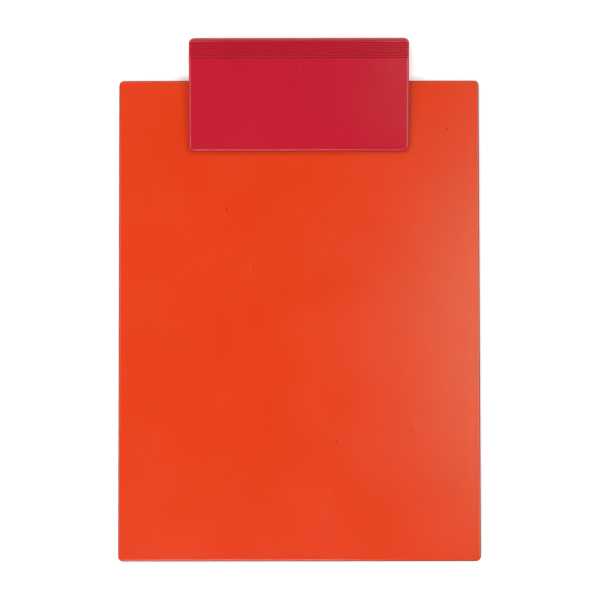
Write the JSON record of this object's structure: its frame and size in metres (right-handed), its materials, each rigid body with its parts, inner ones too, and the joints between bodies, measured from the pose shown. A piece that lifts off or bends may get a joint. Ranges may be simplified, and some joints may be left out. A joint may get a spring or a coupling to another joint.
{
  "type": "clipboard",
  "caption": "Flat moulded clipboard whose wide squeeze clip overhangs the top edge and opens on a sprung hinge to grip sheets of paper.",
  "frame": {"origin": "under the middle of the whole object, on the plane of the base plate's back, which is what the object lies on", "axes": "+X across the panel, +Y along it towards the clip, +Z out of its front face"},
  "size_m": [0.235, 0.3396, 0.019],
  "materials": {
    "panel": "satin",
    "clip": "satin",
    "pad": "matte",
    "pin": "gloss",
    "spring": "satin",
    "rivet": "gloss"
  },
  "bodies": {
    "board": {"board_panel": "panel", "clip_base": "clip", "spring_left": "spring", "spring_right": "spring", "rivet_1": "rivet", "rivet_2": "rivet", "rivet_3": "rivet", "rivet_4": "rivet", "washer_1": "rivet", "washer_2": "rivet", "washer_3": "rivet", "washer_4": "rivet"},
    "lever": {"clip_lever": "clip", "jaw_pad": "pad", "hinge_pin": "pin", "pin_cap_left": "clip", "pin_cap_right": "clip"}
  },
  "joints": [
    {"name": "clip_hinge", "type": "hinge", "parent": "board", "child": "lever", "pos_m": [0, 0.14815, 0.0103], "axis": [-1, 0, 0], "range_deg": [0, 22], "stiffness_Nm_per_rad": 0.5, "springref_deg": -57.3, "deforming": ["spring_left", "spring_right"]}
  ]
}
